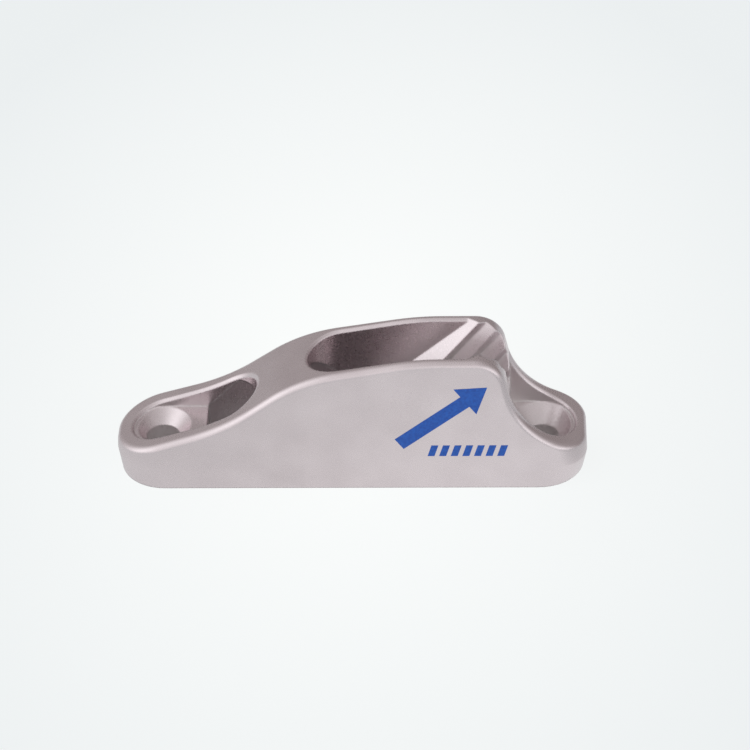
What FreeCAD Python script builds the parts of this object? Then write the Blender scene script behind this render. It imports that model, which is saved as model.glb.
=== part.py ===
"""Jam cleat with a built-in fairlead, cast in one piece of aluminium.

The line comes in over the front lug, passes under the bridge and runs back along
an open channel into a vee with slanting teeth.  A pull from the front draws the line
down the teeth, and the vee jams it.  Two countersunk screws hold the cleat to a deck.

Frame: millimetres, +Z up from the deck, +X from the front lug to the rear lug, origin
on the deck under the middle of the casting, which is mirror symmetric about y = 0.
"""
import FreeCAD, Part
import os
from math import cos, radians, sin, tan

Vector = FreeCAD.Vector

# Whole casting
length = 82.0
width = 17.2                # outside the walls, at the parting line where they are widest
parting_height = 4.5        # the two halves of the outer mould meet here
upper_lean = 3.3            # degrees that the walls lean inwards above the parting line
lower_lean = 2.7            # degrees that the long walls lean inwards below it
end_setback = 0.5           # how much shorter each end is at the deck than at the parting line
front_flat = 1.8            # straight stretch between an end's corners, in plan
rear_flat = 5.4
deck_flat = 0.8             # the same at the deck, for both ends
outer_edge_radius = 1.2     # rounding where the top meets the outer walls

# Top line, seen from the side: straight runs between corners, each corner rounded.
# A run is the level distance to the corner before; other places are measured from the front end.
front_end_height = 6.5
rise_foot = 18.9
rise_foot_height = 12.45
rise_foot_radius = 35.5
rise_run = 13.6
back_foot_height = 22.33
back_foot_radius = 28.0
back_run = 20.2
crown_height = 25.9
crown_radius = 49.0
crown_run = 14.2
nose_radius = 5.3
fall_run = 3.2
tail_height = 10.95
tail_radius = 14.6
rear_end_height = 7.5

# Screws
front_hole_setback = 7.9    # front end to the front screw
rear_hole_setback = 7.8     # rear end to the rear screw
hole_radius = 2.8
sink_slope = 45.0           # degrees, half of the countersink's angle

# Front pocket and the pad that the line runs over
front_pad_height = 7.7
front_pocket_half = 5.1
front_pad_end = 15.6        # where the pad stops and the passage opens
shut_off_slope = 45.0       # degrees of the step between upper and lower cores

# Bridge over the line
bridge_front = 24.6
bridge_rear = 34.0
bridge_thickness = 3.0

# Channel and toothed vee
channel_half = 5.3
core_lean = 1.0             # degrees of draw on every inner wall
jaw_floor = 9.0
jaw_setback = 13.3          # rear end to the rear face of the toothed blocks
root_half = 1.0             # half of the vee's width at its floor, between crests
vee_lean = 12.2             # degrees that each row of crests leans out from upright
ridge_lean = 42.0           # degrees that a ridge leans back from upright, seen from the side
first_crest = 53.6          # the first crest's place where it crosses crest_level
crest_level = 15.0
tooth_pitch = 4.3
tooth_depth = 0.8
flank_run = 1.5             # length of a tooth's biting side
lead_in_slope = 33.0        # degrees of the smooth ramp before the first crest

# Rear pocket
rear_pad_height = 8.1
rear_pocket_half = 5.7

# Hollow under the casting
hollow_half = 5.7
hollow_corner = 2.0
hollow_end = 67.0
floor_thickness = 2.5
lip_start = 45.0            # front edge of the channel's floor
rim_bevel = 0.45            # bevel round the mouths of the pockets and the channel
rim_depth = 0.8             # least wall under that bevel, where a pad comes near the top

margin = 2.0                # how far a cutter passes the casting's faces
touch = 1e-4                # shapes closer than this count as touching

front = -length / 2
rear = length / 2
front_hole = front + front_hole_setback
rear_hole = rear - rear_hole_setback
jaw_end = rear - jaw_setback
top = crown_height + margin


def along(distance):
    """Turn a distance from the front end into x."""
    return front + distance


def line(start, end):
    return Part.makeLine(start, end)


def rounded_corner(before, corner, after, radius):
    """Arc that rounds a corner between two straight runs."""
    run_in = (corner - before).normalize()
    run_out = (after - corner).normalize()
    half_turn = run_in.getAngle(run_out) / 2
    reach = radius * tan(half_turn)
    inwards = (run_out - run_in).normalize()
    middle = corner + inwards * (radius / cos(half_turn) - radius)
    return Part.Arc(corner - run_in * reach, middle, corner + run_out * reach).toShape()


def top_line():
    """Edges of the top, from the front end to the rear end."""
    corners = [
        (rise_foot, rise_foot_height, rise_foot_radius),
        (rise_run, back_foot_height, back_foot_radius),
        (back_run, crown_height, crown_radius),
        (crown_run, crown_height, nose_radius),
        (fall_run, tail_height, tail_radius),
    ]
    start = Vector(front, 0, front_end_height)
    end = Vector(rear, 0, rear_end_height)
    points = [start]
    for run, height, radius in corners:
        points.append(Vector(points[-1].x + run, 0, height))
    points.append(end)
    edges = []
    for i, (run, height, radius) in enumerate(corners):
        arc = rounded_corner(points[i], points[i + 1], points[i + 2], radius)
        edges += [line(start, arc.firstVertex().Point), arc]
        start = arc.lastVertex().Point
    return edges + [line(start, end)]


def ends_of(edges):
    """First and last point of a chain of edges."""
    return edges[0].Vertexes[0].Point, edges[-1].Vertexes[-1].Point


def side_prism(edges, half):
    """Closed side view pulled out to both sides of the middle plane."""
    face = Part.Face(Part.Wire(edges))
    face.translate(Vector(0, -half, 0))
    return face.extrude(Vector(0, 2 * half, 0))


def polygon_prism(points, half):
    """As side_prism, for a side view with straight edges given as (x, z) pairs."""
    corners = [Vector(x, 0, z) for x, z in points]
    return side_prism([line(a, b) for a, b in zip(corners, corners[1:] + corners[:1])], half)


def corner(center, radius, start_angle):
    """Quarter circle in plan, anticlockwise from the start angle."""
    def point(angle):
        return center + Vector(radius * cos(radians(angle)), radius * sin(radians(angle)), 0)
    return Part.Arc(point(start_angle), point(start_angle + 45), point(start_angle + 90)).toShape()


def plan_outline(x_low, x_high, half, front_radius, rear_radius, z):
    """Closed outline in plan with rounded corners; a radius of 0 leaves them square."""
    def middle(x, radius, side):
        return Vector(x, side * (half - radius), z)
    front_x = x_low + front_radius
    rear_x = x_high - rear_radius
    edges = [line(Vector(front_x, -half, z), Vector(rear_x, -half, z))]
    if rear_radius > 0:
        edges.append(corner(middle(rear_x, rear_radius, -1), rear_radius, -90))
    if half > rear_radius:
        edges.append(line(Vector(x_high, rear_radius - half, z), Vector(x_high, half - rear_radius, z)))
    if rear_radius > 0:
        edges.append(corner(middle(rear_x, rear_radius, 1), rear_radius, 0))
    edges.append(line(Vector(rear_x, half, z), Vector(front_x, half, z)))
    if front_radius > 0:
        edges.append(corner(middle(front_x, front_radius, 1), front_radius, 90))
    if half > front_radius:
        edges.append(line(Vector(x_low, half - front_radius, z), Vector(x_low, front_radius - half, z)))
    if front_radius > 0:
        edges.append(corner(middle(front_x, front_radius, -1), front_radius, 180))
    return Part.Wire(edges)


def tapered_prism(x_low, x_high, half, front_radius, rear_radius, z_fixed, z_low, z_high, spread):
    """Upright block with rounded corners whose walls spread outwards on their way up.

    The sizes hold at z_fixed, and spread is in degrees; a square corner stays square.
    """
    def outline(z):
        grow = (z - z_fixed) * tan(radians(spread))
        front_round = front_radius + grow if front_radius > 0 else 0
        rear_round = rear_radius + grow if rear_radius > 0 else 0
        return plan_outline(x_low - grow, x_high + grow, half + grow, front_round, rear_round, z)
    return Part.makeLoft([outline(z_low), outline(z_high)], True, True)


def middle_of(edge):
    """Middle point of an edge and its direction there."""
    parameter = (edge.FirstParameter + edge.LastParameter) / 2
    return edge.valueAt(parameter), edge.tangentAt(parameter)


def rim_edges(shape, wanted):
    """Edges that run along a rim of the top: not straight across, nor up a corner of a wall."""
    chosen = []
    for edge in shape.Edges:
        point, direction = middle_of(edge)
        across = abs(direction.y) > 0.999 and abs(point.y) < width / 4
        upright = abs(direction.z) > 0.99
        if not across and not upright and wanted(point):
            chosen.append(edge)
    return chosen


def blank():
    """Solid casting before any core: the side view cut to the plan, its top edge rounded."""
    edges = top_line()
    start, end = ends_of(edges)
    foot_start = Vector(start.x, 0, 0)
    foot_end = Vector(end.x, 0, 0)
    base = [line(end, foot_end), line(foot_end, foot_start), line(foot_start, start)]
    half = width / 2
    front_corner = half - front_flat / 2
    rear_corner = half - rear_flat / 2
    deck_half = half - parting_height * tan(radians(lower_lean))
    deck_corner = deck_half - deck_flat / 2
    deck = plan_outline(front + end_setback, rear - end_setback, deck_half, deck_corner, deck_corner, 0)
    parting = plan_outline(front, rear, half, front_corner, rear_corner, parting_height)
    lower = Part.makeLoft([deck, parting], True, True)
    upper = tapered_prism(
        front, rear, half, front_corner, rear_corner, parting_height, parting_height, top, -upper_lean
    )
    sharp = side_prism(edges + base, width).common(lower.fuse(upper))
    rim = rim_edges(sharp, lambda point: point.z > parting_height + outer_edge_radius)
    return sharp.makeFillet(outer_edge_radius, rim)


def screw_hole(x, pad_height, pocket_half):
    """Through hole with a countersink that opens out to the pocket's walls at the pad."""
    sink_depth = (pocket_half - hole_radius) / tan(radians(sink_slope))
    hole = Part.makeCylinder(hole_radius, top, Vector(x, 0, -margin))
    sink = Part.makeCone(hole_radius, pocket_half, sink_depth, Vector(x, 0, pad_height - sink_depth))
    return hole.fuse(sink)


def air_over(pad_height):
    """Space over a level pad that also dips below the top line, so that a rim keeps its wall."""
    edges = top_line()
    start, end = ends_of(edges)
    roof_start = Vector(start.x, 0, top + rim_depth)
    roof_end = Vector(end.x, 0, top + rim_depth)
    roof = [line(end, roof_end), line(roof_end, roof_start), line(roof_start, start)]
    over_top = side_prism(edges + roof, width)
    over_top.translate(Vector(0, 0, -rim_depth))
    over_pad = polygon_prism([(front, pad_height), (rear, pad_height), (rear, top), (front, top)], width)
    return over_pad.fuse(over_top)


def front_pocket():
    """Upper core over the front lug and into the passage, round at both ends."""
    half = front_pocket_half
    walls = tapered_prism(
        front_hole - half, along(bridge_front), half, half, half, front_pad_height, 0, top, core_lean
    )
    return walls.common(air_over(front_pad_height))


def rear_pocket():
    """Upper core over the rear lug, from the vee's exit to the screw."""
    half = rear_pocket_half
    walls = tapered_prism(
        jaw_end, rear_hole + half, half, 0, half, rear_pad_height, 0, top, core_lean
    )
    return walls.common(air_over(rear_pad_height))


def top_height(x):
    """Height of the top line over the bridge, found on the outline itself."""
    probe = line(Vector(x, 0, -margin), Vector(x, 0, top))
    touching = [found for found in map(probe.distToShape, top_line()) if found[0] < touch]
    return max(found[1][0][0].z for found in touching)


def lower_core():
    """Mouth, passage under the bridge and hollow under the toothed blocks, open to the deck."""
    pad_end = along(front_pad_end)
    lip = along(lip_start)
    hollow_roof = jaw_floor - floor_thickness
    bridge_start = top_height(along(bridge_front)) - bridge_thickness
    shut_off_run = (bridge_start - front_pad_height) / tan(radians(shut_off_slope))
    side = polygon_prism([
        (pad_end, -margin), (pad_end, front_pad_height),
        (pad_end + shut_off_run, bridge_start), (along(bridge_front), bridge_start),
        (along(bridge_rear), top_height(along(bridge_rear)) - bridge_thickness),
        (lip, jaw_floor), (lip, hollow_roof),
        (along(hollow_end), hollow_roof), (along(hollow_end), -margin),
    ], width)
    walls = tapered_prism(
        pad_end, along(hollow_end), hollow_half, 0, hollow_corner, 0, -margin, top, -core_lean
    )
    return side.common(walls)


def tooth_line():
    """Plan outline of one side's air, from the middle plane out to the teeth, at crest_level."""
    half = root_half + (crest_level - jaw_floor) * tan(radians(vee_lean))
    lead_run = 2 * width
    points = [(along(first_crest) - lead_run, half + lead_run * tan(radians(lead_in_slope)))]
    crest = along(first_crest)
    while crest < jaw_end + length / 4:
        points.append((crest, half))
        points.append((crest + flank_run, half + tooth_depth))
        crest += tooth_pitch
    reach = crest_level * tan(radians(vee_lean))
    points.append((crest, -reach))
    points.append((points[0][0], -reach))
    return points


def channel_walls():
    """The channel as if it had no teeth, round at its front end."""
    return tapered_prism(
        along(bridge_rear), jaw_end, channel_half, channel_half, 0,
        jaw_floor, jaw_floor, top, core_lean,
    )


def channel():
    """Upper core of the channel: plain walls in front, then the vee with its slanting teeth."""
    ridge = Vector(tan(radians(ridge_lean)), tan(radians(vee_lean)), 1)
    corners = [Vector(x, y, crest_level) - ridge * crest_level for x, y in tooth_line()]
    outline = Part.Wire([line(a, b) for a, b in zip(corners, corners[1:] + corners[:1])])
    air = Part.Face(outline).extrude(ridge * (top + margin))
    one_side = channel_walls().common(Part.makeBox(length, width, top + margin, Vector(front, 0, 0)))
    one_side = one_side.common(air)
    return one_side.fuse(one_side.mirror(Vector(0, 0, 0), Vector(0, 1, 0)))


def lies_on(shape, point):
    return Part.Vertex(point).distToShape(Part.Compound(shape.Faces))[0] < touch


def cut_and_bevel(shape, core, walls, x_low, x_high):
    """Cut a core out and bevel the edges in which plain walls meet the top, between two places.

    A rim that changed sizes leave without room for the bevel stays sharp.
    """
    cut = shape.cut(core)
    rim = []
    for edge in cut.Edges:
        point = middle_of(edge)[0]
        if x_low < point.x < x_high and lies_on(walls, point) and lies_on(shape, point):
            rim.append(edge)
    try:
        bevelled = cut.makeChamfer(rim_bevel, rim)
    except Part.OCCError:
        return cut
    return bevelled if bevelled.isValid() else cut


def build():
    """One casting: the blank less its upper cores, its lower core and its screw holes."""
    casting = cut_and_bevel(blank(), front_pocket(), front_pocket(), front, rear)
    casting = cut_and_bevel(casting, channel(), channel_walls(), front, jaw_end)
    casting = cut_and_bevel(casting, rear_pocket(), rear_pocket(), jaw_end, rear)
    return casting.cut([
        lower_core(),
        screw_hole(front_hole, front_pad_height, front_pocket_half),
        screw_hole(rear_hole, rear_pad_height, rear_pocket_half),
    ])


os.makedirs("parts", exist_ok=True)
shape = build()
box = shape.optimalBoundingBox()
print("valid", shape.isValid(), "solids", len(shape.Solids), "volume", round(shape.Volume, 1))
print("box", round(box.XLength, 2), round(box.YLength, 2), round(box.ZLength, 2))
shape.exportStep("parts/cleat_body.step")
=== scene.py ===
# %% [markdown]
# # A jam cleat in cast aluminium
#
# A jam cleat holds a line on a small boat. The line comes in over the front lug, passes
# under a bridge and lies in a vee. The teeth slant down towards the bridge, so the load
# draws the line deeper and wedges it.
#
# The casting itself was built as a CAD solid and arrives here as the frame. It is never
# moved or reshaped in this file. Blender gives it its metal, the printed mark on its
# wall, the studio and the camera. Lengths in this file are written in millimetres and
# turned to metres where they are used, because Blender counts in metres.

# %% The frame
from math import cos, degrees, radians, sin

import bmesh
import bpy
from mathutils import Matrix, Vector


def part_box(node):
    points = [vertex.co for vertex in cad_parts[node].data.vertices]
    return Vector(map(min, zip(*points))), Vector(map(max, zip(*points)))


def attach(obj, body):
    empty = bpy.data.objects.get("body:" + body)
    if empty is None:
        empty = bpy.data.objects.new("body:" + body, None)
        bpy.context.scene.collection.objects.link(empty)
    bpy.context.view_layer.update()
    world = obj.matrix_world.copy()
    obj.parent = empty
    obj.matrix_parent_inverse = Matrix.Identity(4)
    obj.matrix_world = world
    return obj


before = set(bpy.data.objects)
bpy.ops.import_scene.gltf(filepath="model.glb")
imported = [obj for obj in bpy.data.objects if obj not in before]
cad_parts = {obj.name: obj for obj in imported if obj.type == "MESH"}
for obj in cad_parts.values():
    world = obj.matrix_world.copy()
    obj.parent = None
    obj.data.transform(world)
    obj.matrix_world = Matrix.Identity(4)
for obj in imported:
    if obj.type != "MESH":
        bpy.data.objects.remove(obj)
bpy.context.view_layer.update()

MM = 0.001
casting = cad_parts["cleat_body"]
low, high = (Vector(corner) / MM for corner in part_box("cleat_body"))
print("casting, mm:", [round(v, 2) for v in high - low])

# %% [markdown]
# ## Colours as they look on a screen
#
# A colour picked from a screen is in sRGB, but shaders calculate with linear light. One
# function turns a written hex value into what the shader needs, so each colour below
# can be read, and changed, as an ordinary screen colour.

# %% Hex to linear
def linear(hex_colour):
    """Linear red, green, blue and a full alpha, by the sRGB standard's own formula."""
    channels = [int(hex_colour[i:i + 2], 16) / 255 for i in (1, 3, 5)]
    light = (c / 12.92 if c <= 0.04045 else ((c + 0.055) / 1.055) ** 2.4 for c in channels)
    return (*light, 1)


print("middle grey #808080 in linear light:", round(linear("#808080")[0], 3))


# %% [markdown]
# ## One helper for every node
#
# Materials, the world and geometry trees are all graphs of nodes. A single helper adds
# a node, sets its properties and fills its inputs. An input can be a plain value, an
# output of another node, or another node, and then its first output is meant.

# %% Adding a node
# The colour inputs and the colour output of a Mix node, by number: their names repeat.
MIX_A, MIX_B, MIXED = 6, 7, 2


def add(tree, kind, inputs=None, **settings):
    """New node of a kind; its inputs are given by name or number."""
    node = tree.nodes.new(kind)
    for name, value in settings.items():
        setattr(node, name, value)
    for key, value in (inputs or {}).items():
        if isinstance(value, bpy.types.Node):
            value = value.outputs[0]
        if isinstance(value, bpy.types.NodeSocket):
            tree.links.new(value, node.inputs[key])
        else:
            node.inputs[key].default_value = value
    return node


def new_material(name):
    """Empty material that shows nothing until its surface is linked."""
    material = bpy.data.materials.new(name)
    material.use_nodes = True
    material.node_tree.nodes.clear()
    return material, material.node_tree


def place_in_mm(tree):
    """Place on the piece in millimetres, so that pattern scales are real sizes."""
    place = add(tree, "ShaderNodeTexCoord").outputs["Object"]
    return add(tree, "ShaderNodeVectorMath", {0: place, 1: (1 / MM,) * 3}, operation="MULTIPLY")


# %% [markdown]
# ## Cast aluminium, tumbled
#
# The real cleat is cast, then tumbled in a drum with small stones. Tumbling leaves a
# satin skin: fine enough to blur what it reflects, with a faint orange-peel waviness
# and softened rims. A metal has no colour of its own beyond its reflection tint, so the
# shader is fully metallic with a warm pale grey. Noise at three real sizes keeps it from
# looking like plastic: broad stains, waviness, and grain.
#
# The stones hardly get into the channel and down between the teeth. The skin there stays as the
# mould left it, so it is rougher and shows no clear reflections.
# Its tint there is a little greyer and also paler. The paler part is painted light: it lifts the
# shade in those closed places.
# How open a place is tells how much of each it gets.

# %% The casting's finish
NOISE_MIDDLE = 0.35, 0.65       # nearly all of a noise lies between these
STAINS = 9.0, 4.0               # size in mm and finer layers: broad changes of tone
WAVES = 2.2, 2.0                # the same two: orange peel left by tumbling
GRAINS = 0.28, 3.0              # and these: drawn coarser than the real grain, so that it shows
GRAIN_HEIGHT = 0.12             # of the waves' height
RELIEF = 0.03                   # mm, height of the waves
RELIEF_STRENGTH = 0.16          # share of that height which the light shows
EDGE_RADIUS = 0.5               # mm, how far tumbling has rounded each edge
TUMBLED_TINTS = "#DFD4D7", "#E7DCDF"
# The cast tint is paler than the tumbled tints. This is painted light that lifts the shade in the
# channel and between the teeth; only its greyer hue stands for the cast skin.
CAST_TINT_AND_PAINTED_LIFT = "#EFEBEB"
SATIN_ROUGHNESS = 0.26, 0.32    # follows the grain
CAST_ROUGHER = 0.30             # what the cast skin adds to that
# The next two set where the rougher cast skin goes, and with it the painted light of the paler
# tint.
STONE_AND_OCCLUSION_REACH = 12.0              # mm, walls nearer to each other than this are hard to reach
OPENNESS = 0.3, 0.65            # from cast skin to tumbled skin
RAYS = 8                        # tested for each soft edge and each open place


def tumbled_aluminium():
    material, tree = new_material("tumbled_cast_aluminium")
    place = place_in_mm(tree)
    stains, waves, grains = (
        add(tree, "ShaderNodeTexNoise", {"Vector": place, "Scale": 1 / size, "Detail": detail})
        for size, detail in (STAINS, WAVES, GRAINS)
    )
    stain = add(tree, "ShaderNodeMapRange", {
        "Value": stains, "From Min": NOISE_MIDDLE[0], "From Max": NOISE_MIDDLE[1],
    })
    tumbled_tint = add(tree, "ShaderNodeMix", {
        "Factor": stain, MIX_A: linear(TUMBLED_TINTS[0]), MIX_B: linear(TUMBLED_TINTS[1]),
    }, data_type="RGBA")
    relief = add(tree, "ShaderNodeMath", {
        0: grains, 1: GRAIN_HEIGHT, 2: waves,
    }, operation="MULTIPLY_ADD")
    soft_edges = add(tree, "ShaderNodeBevel", {"Radius": EDGE_RADIUS * MM}, samples=RAYS)
    normal = add(tree, "ShaderNodeBump", {
        "Height": relief, "Strength": RELIEF_STRENGTH, "Distance": RELIEF * MM,
        "Normal": soft_edges,
    })
    satin = add(tree, "ShaderNodeMapRange", {
        "Value": grains, "From Min": NOISE_MIDDLE[0], "From Max": NOISE_MIDDLE[1],
        "To Min": SATIN_ROUGHNESS[0], "To Max": SATIN_ROUGHNESS[1],
    })
    open_air = add(tree, "ShaderNodeAmbientOcclusion", {
        "Distance": STONE_AND_OCCLUSION_REACH * MM,
    }, samples=RAYS, only_local=True).outputs["AO"]
    cast_skin_and_painted_lift = add(tree, "ShaderNodeMapRange", {
        "Value": open_air, "From Min": OPENNESS[0], "From Max": OPENNESS[1],
        "To Min": 1, "To Max": 0,
    })
    # Painted light: closed places get the paler cast tint, which lifts their shade.
    tint = add(tree, "ShaderNodeMix", {
        "Factor": cast_skin_and_painted_lift, MIX_A: tumbled_tint.outputs[MIXED], MIX_B: linear(CAST_TINT_AND_PAINTED_LIFT),
    }, data_type="RGBA")
    roughness = add(tree, "ShaderNodeMath", {
        0: cast_skin_and_painted_lift, 1: CAST_ROUGHER, 2: satin,
    }, operation="MULTIPLY_ADD")
    shader = add(tree, "ShaderNodeBsdfPrincipled", {
        "Base Color": tint.outputs[MIXED], "Metallic": 1.0, "Roughness": roughness,
        "Normal": normal,
    })
    add(tree, "ShaderNodeOutputMaterial", {"Surface": shader})
    return material


casting.data.materials.clear()
casting.data.materials.append(tumbled_aluminium())
print("casting finish:", casting.data.materials[0].name)

# %% [markdown]
# ## Blue pad-print ink
#
# The mark on the wall is pad printed: a soft pad lifts ink from a plate and presses it
# on the metal. The film is a few hundredths of a millimetre thick, dries satin, and
# is a little uneven where the metal's grain shows through.

# %% The ink
INK_SPECKLE = 0.5, 3.0          # size in mm and finer layers: where the grain shows through
INK_BLUES = "#1751AF", "#2262C3"
INK_ROUGHNESS = 0.38, 0.5       # follows the speckle


def printed_ink():
    material, tree = new_material("blue_pad_print_ink")
    speckles = add(tree, "ShaderNodeTexNoise", {
        "Vector": place_in_mm(tree), "Scale": 1 / INK_SPECKLE[0], "Detail": INK_SPECKLE[1],
    })
    speckle = add(tree, "ShaderNodeMapRange", {
        "Value": speckles, "From Min": NOISE_MIDDLE[0], "From Max": NOISE_MIDDLE[1],
    })
    colour = add(tree, "ShaderNodeMix", {
        "Factor": speckle, MIX_A: linear(INK_BLUES[0]), MIX_B: linear(INK_BLUES[1]),
    }, data_type="RGBA")
    roughness = add(tree, "ShaderNodeMapRange", {
        "Value": speckle, "To Min": INK_ROUGHNESS[0], "To Max": INK_ROUGHNESS[1],
    })
    shader = add(tree, "ShaderNodeBsdfPrincipled", {
        "Base Color": colour.outputs[MIXED], "Roughness": roughness,
    })
    add(tree, "ShaderNodeOutputMaterial", {"Surface": shader})
    return material


ink = printed_ink()
print("ink:", ink.name, "with", len(ink.node_tree.nodes), "nodes")

# %% [markdown]
# ## Where the mark sits
#
# The casting's wall leans inwards above its parting line, so a flat drawing is first
# made in a plane of its own and then stood up against the wall. The wall's place is
# measured on the casting with a ray, at the foot and at the top of the mark. The mark
# is then right even when the casting's draft changes.

# %% The wall's plane
MARK_LOW, MARK_HIGH = 6.5, 22.0     # mm above the deck
MARK_MIDDLE = 17.5                  # mm along +X from the casting's middle


def wall_point(x, z):
    """Point on the near wall, in mm, found by a ray that starts well outside it."""
    outside = Vector((x, 2 * low.y, z))
    hit, place, _, _ = casting.ray_cast(outside * MM, Vector((0, 1, 0)))
    assert hit, "no wall behind the mark"
    return place / MM


foot, head = wall_point(MARK_MIDDLE, MARK_LOW), wall_point(MARK_MIDDLE, MARK_HIGH)
wall_up = (head - foot).normalized()
wall_right = Vector((1, 0, 0))
wall_out = wall_right.cross(wall_up)
to_wall = Matrix((wall_right, wall_up, wall_out)).transposed().to_4x4()
to_wall.translation = foot
print("wall leans inwards, degrees:", round(degrees(wall_up.angle(Vector((0, 0, 1)))), 2))

# %% [markdown]
# ## The mark: a plain arrow and a row of strokes
#
# A line has to run through a cleat the right way round, and fittings often carry an
# arrow for that. The arrow is one outline, filled and given the film's thickness. Under
# it runs a row of slanted strokes. Strokes that repeat are work for Geometry Nodes: one
# stroke is drawn once and set on evenly spaced points.

# %% Drawing the arrow
INK_FILM = 0.03                     # mm
ARROW_TAIL = Vector((-9.0, 3.0))    # mm in the wall's plane
ARROW_TIP = Vector((6.2, 14.6))
SHAFT_HALF = 1.25                   # mm, half the shaft's width
HEAD_LENGTH, HEAD_HALF = 4.8, 3.2   # mm


def film(name, outline):
    """Closed film on the wall, from an anticlockwise outline in the wall's plane."""
    mesh = bpy.data.meshes.new(name)
    shape = bmesh.new()
    face = shape.faces.new([shape.verts.new((p.x, p.y, 0)) for p in outline])
    raised = bmesh.ops.extrude_face_region(shape, geom=[face])["geom"]
    corners = [part for part in raised if isinstance(part, bmesh.types.BMVert)]
    bmesh.ops.translate(shape, vec=(0, 0, INK_FILM), verts=corners)
    bmesh.ops.recalc_face_normals(shape, faces=shape.faces)
    shape.transform(Matrix.Scale(MM, 4) @ to_wall)
    shape.to_mesh(mesh)
    shape.free()
    piece = bpy.data.objects.new(name, mesh)
    bpy.context.scene.collection.objects.link(piece)
    mesh.materials.append(ink)
    return piece


def arrow_outline():
    along = (ARROW_TIP - ARROW_TAIL).normalized()
    side = Vector((-along.y, along.x))
    neck = ARROW_TIP - along * HEAD_LENGTH
    return [
        ARROW_TAIL - side * SHAFT_HALF, neck - side * SHAFT_HALF, neck - side * HEAD_HALF,
        ARROW_TIP,
        neck + side * HEAD_HALF, neck + side * SHAFT_HALF, ARROW_TAIL + side * SHAFT_HALF,
    ]


arrow = film("print_arrow", arrow_outline())
print("arrow:", len(arrow.data.polygons), "faces")

# %% Strokes by Geometry Nodes
STROKES = {"Count": 7, "Step": 2.0, "Width": 1.2, "Height": 2.2, "Slant": 0.7, "Film": INK_FILM}
STROKES_START = Vector((-3.2, 1.6, 0))      # mm, first stroke's middle in the wall's plane


def stroke_tree():
    """Tree that sets slanted strokes in a row; every size is a named input."""
    tree = bpy.data.node_groups.new("slanted_strokes", "GeometryNodeTree")
    tree.is_modifier = True
    for name, value in STROKES.items():
        kind = "NodeSocketInt" if isinstance(value, int) else "NodeSocketFloat"
        tree.interface.new_socket(name, in_out="INPUT", socket_type=kind).default_value = value
    tree.interface.new_socket("Geometry", in_out="OUTPUT", socket_type="NodeSocketGeometry")
    size = add(tree, "NodeGroupInput").outputs
    step = add(tree, "ShaderNodeCombineXYZ", {"X": size["Step"]})
    points = add(tree, "GeometryNodeMeshLine", {
        "Count": size["Count"], "Offset": step,
    }, mode="OFFSET")
    stroke = add(tree, "GeometryNodeCurvePrimitiveQuadrilateral", {
        "Width": size["Width"], "Height": size["Height"], "Offset": size["Slant"],
    }, mode="PARALLELOGRAM")
    flat = add(tree, "GeometryNodeFillCurve", {"Curve": stroke})
    up = add(tree, "ShaderNodeCombineXYZ", {"Z": size["Film"]})
    raised = add(tree, "GeometryNodeExtrudeMesh", {
        "Mesh": flat, "Offset": up, "Individual": False,
    })
    back = add(tree, "GeometryNodeFlipFaces", {"Mesh": flat})
    closed = add(tree, "GeometryNodeJoinGeometry")
    for part in (raised, back):
        tree.links.new(part.outputs[0], closed.inputs[0])
    solid = add(tree, "GeometryNodeMergeByDistance", {"Geometry": closed})
    row = add(tree, "GeometryNodeInstanceOnPoints", {"Points": points, "Instance": solid})
    real = add(tree, "GeometryNodeRealizeInstances", {0: row})
    inked = add(tree, "GeometryNodeSetMaterial", {"Geometry": real, "Material": ink})
    add(tree, "NodeGroupOutput", {0: inked})
    return tree


def grow(name, tree, sizes, place):
    """Plain mesh piece from a tree: inputs by name, then the piece's place in its mesh."""
    holder = bpy.data.objects.new(name + "_maker", bpy.data.meshes.new(name + "_maker"))
    bpy.context.scene.collection.objects.link(holder)
    modifier = holder.modifiers.new("maker", "NODES")
    modifier.node_group = tree
    for socket in tree.interface.items_tree:
        if socket.in_out == "INPUT" and socket.name in sizes:
            modifier[socket.identifier] = sizes[socket.name]
    grown = holder.evaluated_get(bpy.context.evaluated_depsgraph_get())
    mesh = bpy.data.meshes.new_from_object(grown)
    mesh.transform(place)
    bpy.data.objects.remove(holder)
    piece = bpy.data.objects.new(name, mesh)
    bpy.context.scene.collection.objects.link(piece)
    return piece


strokes = grow(
    "print_strokes", stroke_tree(), STROKES,
    Matrix.Scale(MM, 4) @ to_wall @ Matrix.Translation(STROKES_START),
)
print("strokes:", len(strokes.data.polygons), "faces")

# %% [markdown]
# ## Pieces ride on the casting
#
# The cleat has no moving piece, so all of it is one body. Both printed pieces are
# told to ride on it.

# %% Riding
for piece in (arrow, strokes):
    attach(piece, "root")
    print(piece.name, "rides on the casting")

# %% [markdown]
# ## A pale floor that still takes a shadow
#
# A product photograph has a near-white ground that fades a little to its corners. The
# floor shows that colour directly to the camera and to reflections, and mixes in some
# plain diffuse, so that the casting's shadow stays. The metal mirrors this floor, so its
# wall gets most of its brightness from here. Reflections see the floor dimmer at the left
# end and beyond the right end, because a real table is lit less evenly than it looks.
#
# The casting is open below, and a floor that glows would shine up through its holes. A
# patch with round ends, hidden by the casting's foot, has no glow at all.

# %% Floor
FLOOR_HALF = 3000.0                 # mm
# Painted light: the floor is coloured brighter in the middle and dimmer towards its corners, a
# falloff of light painted onto it.
PAPER_PAINTED_LIT_MIDDLE, PAPER_PAINTED_DIM_CORNER = "#FDFFFE", "#EBEFF0"
GLOW_SHARE = 0.85                   # the rest is plain diffuse, which takes the shadow
FLOOR_GLOW = 1.07                   # makes up for the diffuse share, which is a little darker
MIRROR_DIM = -0.30, -0.12           # change of glow in reflections, at the left and right end
DIM_BEYOND = -0.28                  # and what is added to that beyond the right end
DIM_REACH = 8.0                     # mm, from the right end to where that is full
FADE_CENTRE = Vector((0, 24.0, 0))  # mm
FADE_SHAPE = Vector((1.0, 0.6, 0))  # the oval is longer in depth, so it looks round
FADE_END = 95.0                     # mm
PATCH_HALF = 7.4                    # mm, half the width of the patch without glow


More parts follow.
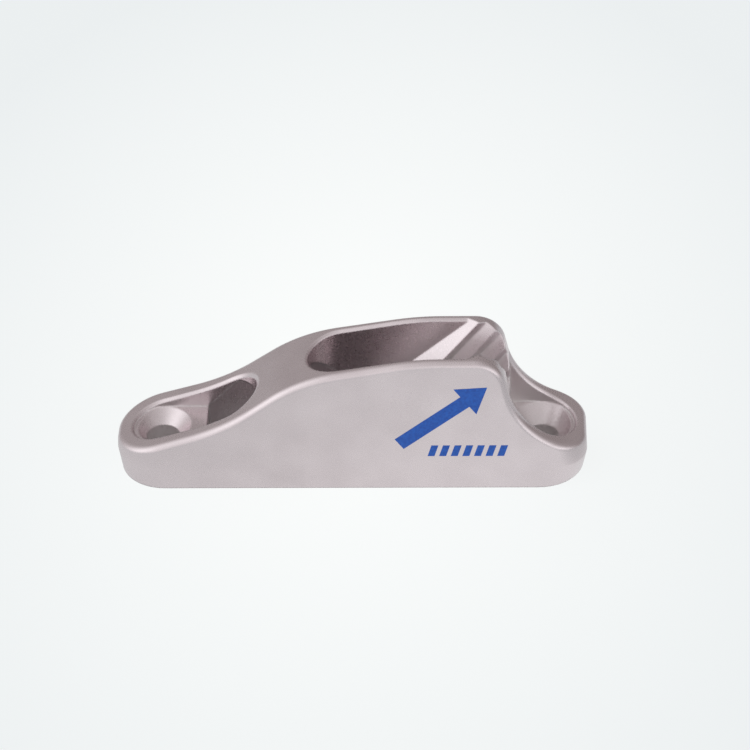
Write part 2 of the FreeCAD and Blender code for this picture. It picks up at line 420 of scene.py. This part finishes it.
def clear_of_patch(tree, place):
    """1 on the open floor and 0 in the patch below the casting."""
    across = add(tree, "ShaderNodeSeparateXYZ", {0: place}).outputs
    straight = high.x - high.y
    along = add(tree, "ShaderNodeMath", {0: across["X"]}, operation="ABSOLUTE")
    beyond = add(tree, "ShaderNodeMath", {0: along, 1: straight}, operation="SUBTRACT")
    past = add(tree, "ShaderNodeMath", {0: beyond, 1: 0}, operation="MAXIMUM")
    offset = add(tree, "ShaderNodeCombineXYZ", {"X": past, "Y": across["Y"]})
    distance = add(tree, "ShaderNodeVectorMath", {0: offset}, operation="LENGTH").outputs["Value"]
    return add(tree, "ShaderNodeMath", {0: distance, 1: PATCH_HALF}, operation="GREATER_THAN")


def floor_glow(tree, place, in_mirror):
    """Strength of the floor's glow: even for the eye, dimmed at both ends in reflections."""
    along = add(tree, "ShaderNodeSeparateXYZ", {0: place}).outputs["X"]
    dim = add(tree, "ShaderNodeMapRange", {
        "Value": along, "From Min": low.x, "From Max": high.x,
        "To Min": MIRROR_DIM[0], "To Max": MIRROR_DIM[1],
    })
    beyond = add(tree, "ShaderNodeMapRange", {
        "Value": along, "From Min": high.x, "From Max": high.x + DIM_REACH, "To Max": DIM_BEYOND,
    })
    dims = add(tree, "ShaderNodeMath", {0: dim, 1: beyond}, operation="ADD")
    return add(tree, "ShaderNodeMath", {
        0: in_mirror, 1: dims, 2: FLOOR_GLOW,
    }, operation="MULTIPLY_ADD")


def studio_floor():
    material, tree = new_material("studio_paper")
    place = place_in_mm(tree)
    shifted = add(tree, "ShaderNodeVectorMath", {0: place, 1: FADE_CENTRE}, operation="SUBTRACT")
    oval = add(tree, "ShaderNodeVectorMath", {0: shifted, 1: FADE_SHAPE}, operation="MULTIPLY")
    distance = add(tree, "ShaderNodeVectorMath", {0: oval}, operation="LENGTH").outputs["Value"]
    fade = add(tree, "ShaderNodeMapRange", {"Value": distance, "From Max": FADE_END})
    colour = add(tree, "ShaderNodeMix", {
        "Factor": fade, MIX_A: linear(PAPER_PAINTED_LIT_MIDDLE), MIX_B: linear(PAPER_PAINTED_DIM_CORNER),
    }, data_type="RGBA").outputs[MIXED]
    ray = add(tree, "ShaderNodeLightPath").outputs
    glow = add(tree, "ShaderNodeEmission", {
        "Color": colour, "Strength": floor_glow(tree, place, ray["Is Glossy Ray"]),
    })
    seen = add(tree, "ShaderNodeMath", {
        0: ray["Is Camera Ray"], 1: ray["Is Glossy Ray"],
    }, operation="MAXIMUM")
    seen_open = add(tree, "ShaderNodeMath", {
        0: seen, 1: clear_of_patch(tree, place),
    }, operation="MULTIPLY")
    surface = add(tree, "ShaderNodeMixShader", {
        0: add(tree, "ShaderNodeMath", {0: seen_open, 1: GLOW_SHARE}, operation="MULTIPLY"),
        1: add(tree, "ShaderNodeBsdfDiffuse", {"Color": colour}),
        2: glow,
    })
    add(tree, "ShaderNodeOutputMaterial", {"Surface": surface})
    return material


def flat_square(name, half):
    mesh = bpy.data.meshes.new(name)
    corners = [(-half, -half, 0), (half, -half, 0), (half, half, 0), (-half, half, 0)]
    mesh.from_pydata(corners, [], [(0, 1, 2, 3)])
    square = bpy.data.objects.new(name, mesh)
    bpy.context.scene.collection.objects.link(square)
    return square


floor = flat_square("floor", FLOOR_HALF * MM)
floor.data.materials.append(studio_floor())
print("floor:", round(2 * FLOOR_HALF), "mm square")

# %% [markdown]
# ## Studio light for metal
#
# Metal shows what stands around it rather than lamps, so the studio is built as a dome
# of soft tones: a dim warm grey all round, a wide glow at the left, a lower one in front
# to the right, a weak one between them and another overhead. The ramp and the bowl mirror
# the left glow, the rounded rims mirror the front one, the overhead one reaches down into
# the channel, and the casting's top mirrors the dim part behind it. Each glow falls off
# smoothly with the angle from its middle, so no edge of a lamp shows in the metal.

# %% Dome of light
DOME_GREY = "#9A9493"
GLOW_TINT = Vector((1.0, 1.04, 1.05))
GLOWS = {               # degrees round from +X, degrees up, sharpness, brightness
    "left": (-157.0, 25.0, 3.3, 0.95),
    "front": (-48.0, 5.0, 7.0, 0.88),
    "between": (-90.0, 8.0, 9.0, 0.33),
    "above": (0.0, 90.0, 6.0, 0.14),
}


def heading(azimuth, elevation):
    """Unit vector towards a place on the dome, from two angles in degrees."""
    turn, lift = radians(azimuth), radians(elevation)
    return Vector((cos(turn) * cos(lift), sin(turn) * cos(lift), sin(lift)))


def studio_world():
    """Dome whose glows are brightness times e to the power sharpness (cosine - 1)."""
    world = bpy.data.worlds.new("studio")
    bpy.context.scene.world = world
    world.use_nodes = True
    tree = world.node_tree
    tree.nodes.clear()
    direction = add(tree, "ShaderNodeTexCoord").outputs["Generated"]
    total = 0.0
    for azimuth, elevation, sharpness, brightness in GLOWS.values():
        cosine = add(tree, "ShaderNodeVectorMath", {
            0: direction, 1: heading(azimuth, elevation),
        }, operation="DOT_PRODUCT").outputs["Value"]
        power = add(tree, "ShaderNodeMath", {
            0: cosine, 1: sharpness, 2: -sharpness,
        }, operation="MULTIPLY_ADD")
        bell = add(tree, "ShaderNodeMath", {0: power}, operation="EXPONENT")
        total = add(tree, "ShaderNodeMath", {
            0: bell, 1: brightness, 2: total,
        }, operation="MULTIPLY_ADD")
    glows = add(tree, "ShaderNodeVectorMath", {0: GLOW_TINT, "Scale": total}, operation="SCALE")
    dome = add(tree, "ShaderNodeVectorMath", {
        0: linear(DOME_GREY)[:3], 1: glows,
    }, operation="ADD")
    light = add(tree, "ShaderNodeBackground", {"Color": dome})
    add(tree, "ShaderNodeOutputWorld", {"Surface": light})


studio_world()
print("glows on the dome:", ", ".join(GLOWS))

# %% [markdown]
# ## The camera
#
# The photograph was taken from a little above, with a long lens: lines that run away
# from the eye hardly meet. The camera turns round a point inside the casting. Its right
# and up directions are worked out from three angles, and the frame is then aimed a few
# millimetres off that point, because the casting isn't in the middle of the picture.

# %% Camera
ELEVATION, TURN, ROLL = radians(37.17), radians(3.0), radians(-2.0)
DISTANCE = 600.0                        # mm from the point that it turns round
PIVOT = Vector((0, 0, 10.0))
AIM_RIGHT, AIM_UP = 4.13, 6.58          # mm in the camera's own plane
LENS, SENSOR = 165.4, 36.0              # mm
NEAREST, FARTHEST = 0.01, 20            # m, nothing outside these is drawn


def studio_camera():
    forward = Vector((-sin(TURN) * cos(ELEVATION), cos(TURN) * cos(ELEVATION), -sin(ELEVATION)))
    level = Vector((cos(TURN), sin(TURN), 0))
    upright = level.cross(forward)
    right = cos(ROLL) * level + sin(ROLL) * upright
    up = cos(ROLL) * upright - sin(ROLL) * level
    eye = PIVOT - forward * DISTANCE
    look = (PIVOT + right * AIM_RIGHT + up * AIM_UP - eye).normalized()
    right = (right - look * right.dot(look)).normalized()
    up = right.cross(look)
    data = bpy.data.cameras.new("camera")
    data.lens, data.sensor_width = LENS, SENSOR
    data.clip_start, data.clip_end = NEAREST, FARTHEST
    camera = bpy.data.objects.new("camera", data)
    bpy.context.scene.collection.objects.link(camera)
    turned = Matrix((right, up, -look)).transposed().to_4x4()
    camera.matrix_world = Matrix.Translation(eye * MM) @ turned
    bpy.context.scene.camera = camera
    return camera


camera = studio_camera()
bpy.context.scene.view_settings.view_transform = "Standard"
print("camera's place, mm:", [round(v / MM) for v in camera.matrix_world.translation])

# %% [markdown]
# ## The end

# %% Finish
print("pieces on the casting:", arrow.name, "and", strokes.name)
